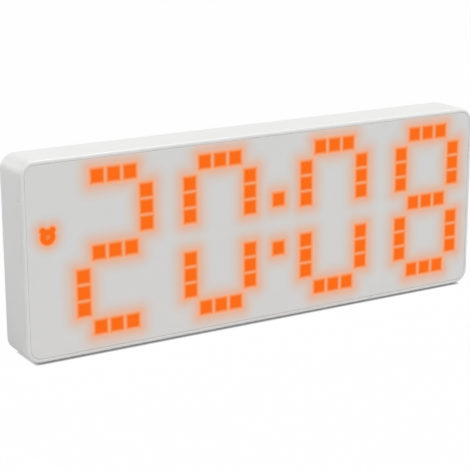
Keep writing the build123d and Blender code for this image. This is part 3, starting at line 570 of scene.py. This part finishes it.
colon = add_node(display, "ShaderNodeGroup", (-400, 300), node_tree=dot_row, Reach=0.0)
both_sides = add_math(display, "ABSOLUTE", (-700, 300), up_mm)
colon_along = add_math(display, "SUBTRACT", (-550, 300), both_sides, COLON_RISE)
colon_aside = add_math(display, "SUBTRACT", (-550, 450), across_mm, COLON_ACROSS)
join(display, colon_along, colon.inputs["Along"])
join(display, colon_aside, colon.inputs["Aside"])
closest = colon.outputs[0]
for index, (figure, place) in enumerate(DIGIT_PLACES):
    shelf = -300 * index
    lit_digit = add_node(display, "ShaderNodeGroup", (-400, shelf), node_tree=digit)
    digit_across = add_math(display, "SUBTRACT", (-650, shelf), across_mm, place)
    join(display, digit_across, lit_digit.inputs["Across"])
    join(display, up_mm, lit_digit.inputs["Up"])
    for name, _, _ in ROWS:
        lit_digit.inputs[name].default_value = float(name in LIT_ROWS[figure])
    closest = add_math(
        display, "SMOOTH_MIN", (-100, shelf), closest, lit_digit.outputs[0], GLOW_BLEND
    )
join(display, closest, display_out.inputs["Distance"])
print("group", display.name, "shows", "".join(figure for figure, _ in DIGIT_PLACES))

# %% [markdown]
# The alarm sign is a small clock face with two bells on top, cut through the mask as one hole.
# Three discs give its shape. The clock's hands are no more than a lighter middle, so two small
# bars raise the distance there to just under the edge's, and the painted glow is paler there.

# %% The alarm sign in the display group
SIGN_PLACE = (-90.4, 8.33)
# Each disc has a place across and up from the sign's middle, and a radius
SIGN_DISCS = [(0.0, 0.0, 2.9), (-1.85, 2.35, 1.2), (1.85, 2.35, 1.2)]
# Each hand has a place across and up, half its width and half its height
SIGN_HANDS = [(0.0, -0.1, 0.6, 0.85), (0.15, 0.1, 0.8, 0.4)]
HAND_DIM = 0.2
HAND_LEVEL = -0.07

flat_place = add_node(display, "ShaderNodeCombineXYZ", (-700, 900))
join(display, across_mm, flat_place.inputs["X"])
join(display, up_mm, flat_place.inputs["Y"])
sign = None
for index, (aside, rise, radius) in enumerate(SIGN_DISCS):
    shelf = 700 + 200 * index
    from_disc = add_node(display, "ShaderNodeVectorMath", (-400, shelf), operation="DISTANCE")
    join(display, flat_place.outputs[0], from_disc.inputs[0])
    from_disc.inputs[1].default_value = (SIGN_PLACE[0] + aside, SIGN_PLACE[1] + rise, 0.0)
    past_disc = add_math(display, "SUBTRACT", (-200, shelf), from_disc.outputs["Value"], radius)
    if sign is None:
        sign = past_disc
    else:
        sign = add_math(display, "MINIMUM", (0, shelf), sign, past_disc)
sign_across = add_math(display, "SUBTRACT", (-700, 1500), across_mm, SIGN_PLACE[0])
sign_up = add_math(display, "SUBTRACT", (-700, 1700), up_mm, SIGN_PLACE[1])
for index, (aside, rise, half_width, half_height) in enumerate(SIGN_HANDS):
    shelf = 1500 + 300 * index
    hand = add_node(
        display, "ShaderNodeGroup", (-300, shelf), node_tree=dot_row,
        Half_along=half_height, Half_aside=half_width, Reach=0.0,
    )
    hand_along = add_math(display, "SUBTRACT", (-500, shelf), sign_up, rise)
    hand_aside = add_math(display, "SUBTRACT", (-500, shelf + 150), sign_across, aside)
    join(display, hand_along, hand.inputs["Along"])
    join(display, hand_aside, hand.inputs["Aside"])
    sunk_hand = add_math(display, "SUBTRACT", (-250, shelf), -HAND_DIM, hand.outputs[0])
    pale_hand = add_math(display, "MINIMUM", (-100, shelf), sunk_hand, HAND_LEVEL)
    sign = add_math(display, "MAXIMUM", (150, shelf), sign, pale_hand)
join(display, sign, display_out.inputs["Sign"])
print("sign of", len(SIGN_DISCS), "discs and", len(SIGN_HANDS), "hands")

# %% [markdown]
# The colours come from two ramps that read the distance. The first is the sheet's own colour:
# pale grey far from the lights, and over them deep orange, which is painted light from the
# lights behind. The second is painted glow, given off by the sheet as the light that comes
# through it. Their sum is the bright orange square with its soft peach edge. Real light from
# real lamps behind a real diffuser would do it too, but with far more samples.

# %% Colour ramps that read a distance
RAMP_START = -2.0
RAMP_END = 8.0
FRONT_LIGHT = 0.74
# Each row holds a distance in millimetres, the colour seen there, and the share of it that
# shines through the sheet. Over the lights both parts are painted light: the share as glow,
# and the rest in the sheet's own colour
GLOW = [
    (-1.4, (1.0, 0.144, 0.003), 0.72),
    (-0.7, (0.865, 0.144, 0.008), 0.68),
    (-0.2, (0.87, 0.197, 0.037), 0.58),
    (0.3, (0.96, 0.321, 0.126), 0.43),
    (0.9, (0.855, 0.43, 0.264), 0.3),
    (1.7, (0.74, 0.467, 0.35), 0.21),
    (3.0, (0.705, 0.52, 0.441), 0.13),
    (4.6, (0.648, 0.58, 0.539), 0.06),
    (7.5, (0.622, 0.624, 0.62), 0.0),
]


def distance_ramp(tree, place, source, strength):
    """A colour ramp that reads a distance. strength turns a row's share into a factor."""
    spread = add_node(
        tree, "ShaderNodeMapRange", (place[0] - 200, place[1]),
        From_Min=RAMP_START, From_Max=RAMP_END,
    )
    join(tree, source, spread.inputs["Value"])
    ramp = add_node(tree, "ShaderNodeValToRGB", place)
    stops = ramp.color_ramp.elements
    while len(stops) < len(GLOW):
        stops.new(0.5)
    for stop, (distance, colour, share) in zip(stops, GLOW):
        stop.position = (distance - RAMP_START) / (RAMP_END - RAMP_START)
        stop.color = (*(part * strength(share) for part in colour), 1)
    join(tree, spread.outputs[0], ramp.inputs[0])
    return ramp.outputs[0]


print("ramp stops:", len(GLOW))

# %% [markdown]
# The sheet is matt and finely grained, so it mirrors next to nothing of the room. The sign is
# small and its halo narrow, so its distance is made to grow faster before it meets that of the
# digits.

# %% The front sheet's finish
SIGN_FADE = 1.5
SHEET_GLOSS = 0.1
SHEET_GRAIN_PER_METRE = 14000.0

sheet_finish = bpy.data.materials.new("diffuser_sheet")
sheet_finish.use_nodes = True
sheet = sheet_finish.node_tree
sheet_shader = sheet.nodes["Principled BSDF"]
sheet_shader.inputs["Specular IOR Level"].default_value = SHEET_GLOSS
sheet_shader.inputs["Emission Strength"].default_value = 1.0
shown = add_node(sheet, "ShaderNodeGroup", (-1100, 0), node_tree=display)
narrow_sign = add_math(sheet, "MULTIPLY", (-1000, -200), shown.outputs["Sign"], SIGN_FADE)
any_light = add_math(sheet, "MINIMUM", (-850, 0), shown.outputs["Distance"], narrow_sign)
# Over the lights, the base colour is painted light and the emission is painted glow
base_with_painted_glow = distance_ramp(sheet, (-500, 200), any_light, lambda share: (1 - share) / FRONT_LIGHT)
painted_glow = distance_ramp(sheet, (-500, -300), any_light, lambda share: share)
sheet_skin = add_node(
    sheet, "ShaderNodeGroup", (-700, -700), node_tree=mould_skin,
    Grain_per_metre=SHEET_GRAIN_PER_METRE, Shiny=0.45, Dull=0.52, Fade=0.015,
)
sheet_colour_with_painted_glow = add_blend(
    sheet, (-200, 200), base_with_painted_glow, sheet_skin.outputs["Tone"], 1.0, "MULTIPLY"
)
join(sheet, sheet_colour_with_painted_glow, sheet_shader.inputs["Base Color"])
join(sheet, painted_glow, sheet_shader.inputs["Emission Color"])
join(sheet, sheet_skin.outputs["Roughness"], sheet_shader.inputs["Roughness"])
finishes["diffuser_sheet"] = sheet_finish
print("the sheet reads", len(DIGIT_PLACES), "digits")

# %% [markdown]
# Each light is a pale package under clear resin, with one orange chip in it. The 87 lights are
# one piece with one material, and the display group says which of them are lit. A lit one
# glows, and its package is painted orange too, as painted light from its own chip. They show
# only when the clock is taken apart.

# %% The lights behind the sheet
LIGHT_PACKAGE = (0.8, 0.72, 0.55)
LIT_PACKAGE_PAINTED_GLOW = (1.0, 0.3, 0.05)
LIT_GLOW = (1.0, 0.2, 0.01)
NO_GLOW = (0, 0, 0)
LIGHT_STRENGTH = 2.0

led, led_shader, led_plain = moulded("led_orange", LIGHT_PACKAGE, shiny=0.12, dull=0.28, fade=0.2)
led_shader.inputs["Emission Strength"].default_value = LIGHT_STRENGTH
led_shown = add_node(led, "ShaderNodeGroup", (-900, 0), node_tree=display)
led_light = add_math(
    led, "MINIMUM", (-700, 0), led_shown.outputs["Distance"], led_shown.outputs["Sign"]
)
led_lit = add_math(led, "LESS_THAN", (-500, 0), led_light, 0.0)
led_glow = add_blend(led, (-250, -100), NO_GLOW, LIT_GLOW, led_lit)
# A lit light's orange package colour is painted glow from its own chip
led_colour_and_painted_glow = add_blend(led, (-250, 200), LIGHT_PACKAGE, LIT_PACKAGE_PAINTED_GLOW, led_lit)
join(led, led_colour_and_painted_glow, led_plain)
join(led, led_glow, led_shader.inputs["Emission Color"])
print("lights glow where the display is lit")

# %% [markdown]
# The circuit board has thin copper traces under its green lacquer. Each region of the board has
# traces that run one way only, so two sets of stripes take turns, chosen by a coarse noise. A
# trace lifts the lacquer by its own thickness, which the bump shows.

# %% The circuit board
TRACE_STEP = 1.27
TRACE_WIDTH = 0.3
TRACE_HEIGHT = 0.035 * MM
LACQUER = (0.012, 0.1, 0.035)
LACQUER_ON_COPPER = (0.05, 0.22, 0.07)
REGIONS_PER_METRE = 90.0
UPRIGHT_ABOVE = 0.56
FLAT_BELOW = 0.44

board, board_shader, board_plain = moulded("board_laminate", LACQUER, shiny=0.22, dull=0.32)
board_place = add_node(board, "ShaderNodeTexCoord", (-2000, 600))
board_parts = add_node(board, "ShaderNodeSeparateXYZ", (-1800, 600))
join(board, board_place.outputs["Object"], board_parts.inputs[0])
regions = add_node(board, "ShaderNodeTexNoise", (-1800, 900), Scale=REGIONS_PER_METRE, Detail=0.0)
join(board, board_place.outputs["Object"], regions.inputs["Vector"])
stripes = {}
for axis, shelf in (("X", 600), ("Z", 400)):
    in_steps = add_math(
        board, "MULTIPLY", (-1600, shelf), board_parts.outputs[axis], 1 / (TRACE_STEP * MM)
    )
    part_of_step = add_math(board, "FRACT", (-1450, shelf), in_steps)
    stripes[axis] = add_math(
        board, "LESS_THAN", (-1300, shelf), part_of_step, TRACE_WIDTH / TRACE_STEP
    )
upright_region = add_math(
    board, "GREATER_THAN", (-1600, 900), regions.outputs[0], UPRIGHT_ABOVE
)
flat_region = add_math(board, "LESS_THAN", (-1600, 1100), regions.outputs[0], FLAT_BELOW)
upright_traces = add_math(board, "MULTIPLY", (-1100, 700), stripes["X"], upright_region)
flat_traces = add_math(board, "MULTIPLY", (-1100, 500), stripes["Z"], flat_region)
traces = add_math(board, "MAXIMUM", (-950, 600), upright_traces, flat_traces)
board_colour = add_blend(board, (-600, 400), LACQUER, LACQUER_ON_COPPER, traces)
join(board, board_colour, board_plain)
trace_bump = add_node(board, "ShaderNodeBump", (-200, -300), Strength=1.0, Distance=TRACE_HEIGHT)
grain_normal = board_shader.inputs["Normal"].links[0].from_socket
join(board, traces, trace_bump.inputs["Height"])
join(board, grain_normal, trace_bump.inputs["Normal"])
join(board, trace_bump.outputs[0], board_shader.inputs["Normal"])
print("traces every", TRACE_STEP, "mm")

# %% [markdown]
# The three cells lie side by side, the middle one turned round. Each has a plain slate wrap
# with a narrow pale ring near its plus end, and bare steel at both tips. They are one piece, so
# the pattern has to find out which cell it is on. The place along a cell is the same for all
# three once the middle one is mirrored, which takes one sign: plus on the outer cells, minus on
# the middle one.

# %% Which way a cell lies
cells_low, cells_high = corners("battery_cells")
CELL_ROW_UP = middle("battery_cells").z
CELL_RADIUS = (cells_high.y - cells_low.y) / 2
OUTER_CELL_RISE = (cells_high.z - cells_low.z) / 2 - CELL_RADIUS
SLATE = (0.07, 0.09, 0.11)

cell, cell_shader, cell_plain = moulded("cell_wrap", SLATE, shiny=0.2, dull=0.3)
cell_place = add_node(cell, "ShaderNodeTexCoord", (-2200, 300))
cell_parts = add_node(cell, "ShaderNodeSeparateXYZ", (-2000, 300))
join(cell, cell_place.outputs["Object"], cell_parts.inputs[0])
cell_along = add_math(cell, "MULTIPLY", (-1800, 400), cell_parts.outputs["X"], 1 / MM)
cell_up = add_math(cell, "MULTIPLY", (-1800, 200), cell_parts.outputs["Z"], 1 / MM)
from_row = add_math(cell, "SUBTRACT", (-1650, 200), cell_up, CELL_ROW_UP)
row_distance = add_math(cell, "ABSOLUTE", (-1500, 200), from_row)
outer_cell = add_math(cell, "GREATER_THAN", (-1350, 200), row_distance, OUTER_CELL_RISE / 2)
twice_outer = add_math(cell, "MULTIPLY", (-1200, 200), outer_cell, 2.0)
turned = add_math(cell, "SUBTRACT", (-1050, 200), twice_outer, 1.0)
to_plus_end = add_math(cell, "MULTIPLY", (-900, 300), cell_along, turned)
print("cells of radius", round(CELL_RADIUS, 3), "mm, every", round(OUTER_CELL_RISE, 3), "mm")

# %% [markdown]
# With one coordinate that runs from the minus end to the plus end, the finish is a set of
# bands: the wrap ends before both tips, and the ring lies between two places. The bare tips are
# metal, so the same mask that picks their colour also feeds Metallic.

# %% The cells' wrap
WRAP_FROM = -19.3
WRAP_TO = 23.2
RING_FROM = 19.4
RING_TO = 21.4
RING_COLOUR = (0.55, 0.56, 0.57)
TIP_STEEL = (0.72, 0.72, 0.73)

past_wrap = add_math(cell, "GREATER_THAN", (-750, 400), to_plus_end, WRAP_TO)
before_wrap = add_math(cell, "LESS_THAN", (-750, 250), to_plus_end, WRAP_FROM)
bare_tip = add_math(cell, "MAXIMUM", (-600, 350), past_wrap, before_wrap)
past_ring_start = add_math(cell, "GREATER_THAN", (-900, 100), to_plus_end, RING_FROM)
before_ring_end = add_math(cell, "LESS_THAN", (-900, -50), to_plus_end, RING_TO)
in_ring = add_math(cell, "MULTIPLY", (-750, 100), past_ring_start, before_ring_end)
wrap_colour = add_blend(cell, (-600, 100), SLATE, RING_COLOUR, in_ring)
cell_colour = add_blend(cell, (-450, 300), wrap_colour, TIP_STEEL, bare_tip)
join(cell, cell_colour, cell_plain)
join(cell, bare_tip, cell_shader.inputs["Metallic"])
print("cells wrapped from", WRAP_FROM, "to", WRAP_TO)

# %% [markdown]
# Every piece of the CAD model now takes the finish of its slot. The slots are read from the
# clock's own record, so a piece that is renamed or added there still finds its finish.

# %% Give each piece its finish
slots = {entry["node"]: entry["material_slot"] for entry in frame["record"]["subparts"]}
for name, piece in frame["nodes"].items():
    piece.data.materials.clear()
    piece.data.materials.append(finishes[slots[name]])
print("finished pieces:", len(slots))

# %% [markdown]
# The back has small marks below its keys and above its switch. They are printed, so each is a
# layer a few hundredths of a millimetre thick, half of it in the cover so that no gap shows.
# Letters and signs are drawn as flat outlines in millimetres, turned to face backwards, and
# made a mesh. An image would be quicker, but it blurs up close.

# %% Print on the back
INK = 0.04
BACK_FACE = corners("rear_cover")[1].y
# Across runs to the left on the back, up stays up, and the outline's front faces backwards
FACING_BACK = Matrix(((-1, 0, 0, 0), (0, 0, 1, 0), (0, 1, 0, 0), (0, 0, 0, 1)))


def print_on_back(name, outline, across, up):
    """A thin printed layer on the rear cover, from a text or a flat curve in millimetres."""
    outline.extrude = INK / 2
    holder = bpy.data.objects.new(name + "_outline", outline)
    bpy.context.scene.collection.objects.link(holder)
    mesh = bpy.data.meshes.new_from_object(holder)
    bpy.data.objects.remove(holder)
    bpy.data.curves.remove(outline)
    to_its_place = Matrix.Translation(Vector((across, BACK_FACE, up)) * MM)
    mesh.transform(to_its_place @ FACING_BACK @ Matrix.Scale(MM, 4))
    mesh.name = name
    piece = bpy.data.objects.new(name, mesh)
    bpy.context.scene.collection.objects.link(piece)
    mesh.materials.clear()
    mesh.materials.append(finishes["switch_black"])
    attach(piece, "clock")
    print("printed", name)


# %% [markdown]
# The words are plain ones that such a clock needs: SET, a plus and a minus under their keys,
# ON and OFF above the switch. A font's size is the height of its whole line, and a capital
# letter fills only a part of that.

# %% Words and signs from a font
CAPITAL_SHARE = 0.72
MARK_HEIGHT = 2.4
SIGN_HEIGHT = 4.08
SWITCH_MARK_HEIGHT = 1.68
KEY_MARK_DROP = 2.62
KEY_MARKS = [
    ("set", "SET", MARK_HEIGHT),
    ("plus", "+", SIGN_HEIGHT),
    ("minus", "\N{MINUS SIGN}", SIGN_HEIGHT),
]
# Each word stands a little to one side of the switch's middle
SWITCH_MARKS = [("ON", -2.6), ("OFF", 2.8)]
SWITCH_MARK_RISE = 4.78


def letters(text, height):
    """A text of that letter height, centred on its place."""
    outline = bpy.data.curves.new(text, "FONT")
    outline.body = text
    outline.size = height / CAPITAL_SHARE
    outline.align_x = "CENTER"
    outline.align_y = "CENTER"
    return outline


def under_key(key):
    """The place across and up of a mark under a key."""
    return middle(key).x, corners(key)[0].z - KEY_MARK_DROP


for key, text, height in KEY_MARKS:
    print_on_back(key + "_mark", letters(text, height), *under_key(key + "_key"))
switch = middle("slide_switch_body")
for text, aside in SWITCH_MARKS:
    word = letters(text, SWITCH_MARK_HEIGHT)
    word_place = (switch.x + aside, switch.z + SWITCH_MARK_RISE)
    print_on_back("switch_mark_" + text.lower(), word, *word_place)

# %% [markdown]
# The alarm key's sign is drawn from listed shapes, because no plain font has it: a ring, two
# bells and two feet, and a pair of hands. A circle that lies inside another in a flat curve is
# a hole, so the ring is two circles. A closed outline of six corners gives the hands.

# %% The alarm sign on the back
QUARTERS = ((1, 0), (0, 1), (-1, 0), (0, -1))
RING = (1.2, 0.9)
BELL = (1.0, 1.3, 0.4)
FOOT = (0.85, -1.2, 0.22)
HAND_HALF_WIDTH = 0.12
SHORT_HAND = 0.55
LONG_HAND = 0.7


def add_disc(outline, across, up, radius):
    """A circle in a flat outline. One that lies inside another is a hole."""
    circle = outline.splines.new("BEZIER")
    circle.bezier_points.add(len(QUARTERS) - 1)
    for point, (side, rise) in zip(circle.bezier_points, QUARTERS):
        point.co = (across + side * radius, up + rise * radius, 0)
        point.handle_left_type = point.handle_right_type = "AUTO"
    circle.use_cyclic_u = True


alarm_sign = bpy.data.curves.new("alarm_sign", "CURVE")
alarm_sign.dimensions = "2D"
alarm_sign.fill_mode = "BOTH"
for radius in RING:
    add_disc(alarm_sign, 0, 0, radius)
for across, up, radius in (BELL, FOOT):
    for side in (-1, 1):
        add_disc(alarm_sign, side * across, up, radius)
hand_corners = (
    (-HAND_HALF_WIDTH, -HAND_HALF_WIDTH), (SHORT_HAND, -HAND_HALF_WIDTH),
    (SHORT_HAND, HAND_HALF_WIDTH), (HAND_HALF_WIDTH, HAND_HALF_WIDTH),
    (HAND_HALF_WIDTH, LONG_HAND), (-HAND_HALF_WIDTH, LONG_HAND),
)
hands = alarm_sign.splines.new("POLY")
hands.points.add(len(hand_corners) - 1)
for point, (across, up) in zip(hands.points, hand_corners):
    point.co = (across, up, 0, 1)
hands.use_cyclic_u = True
print_on_back("alarm_mark", alarm_sign, *under_key("alarm_key"))
